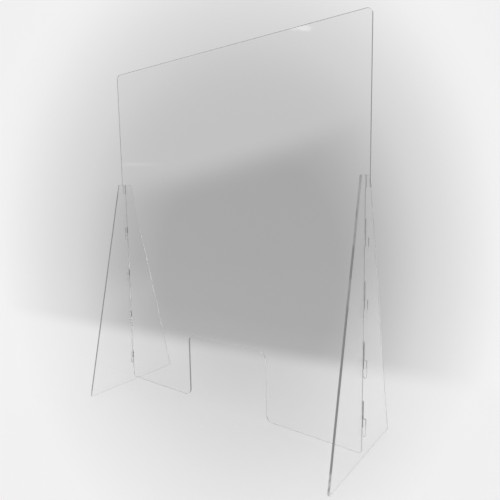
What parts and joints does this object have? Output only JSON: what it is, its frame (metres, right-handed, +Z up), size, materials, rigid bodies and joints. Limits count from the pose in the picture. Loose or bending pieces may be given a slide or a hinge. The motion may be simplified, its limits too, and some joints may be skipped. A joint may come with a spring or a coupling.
{
  "type": "desk privacy panel",
  "caption": "Free-standing clear acrylic desk screen: a tall panel with a pass-through at its foot, hooked into slots in triangular end feet.",
  "frame": {"origin": "on the desk, midway between the feet and on the panel's mid-plane", "axes": "+X along the panel to the right foot, +Y through the panel to its rear side, +Z up"},
  "size_m": [0.762, 0.3034, 0.9051],
  "materials": {
    "clear_acrylic_panel": "polished",
    "clear_acrylic_feet": "polished"
  },
  "bodies": {
    "right_foot": {"right_foot": "clear_acrylic_feet"},
    "panel": {"panel": "clear_acrylic_panel"},
    "left_foot": {"left_foot": "clear_acrylic_feet"}
  },
  "joints": [
    {"name": "panel_lift", "type": "slide", "parent": "right_foot", "child": "panel", "axis": [0, 0, 1], "range_m": [0, 0.0375]},
    {"name": "left_foot_unhook", "type": "slide", "parent": "panel", "child": "left_foot", "axis": [0, 0, -1], "range_m": [0, 0.0375]}
  ]
}
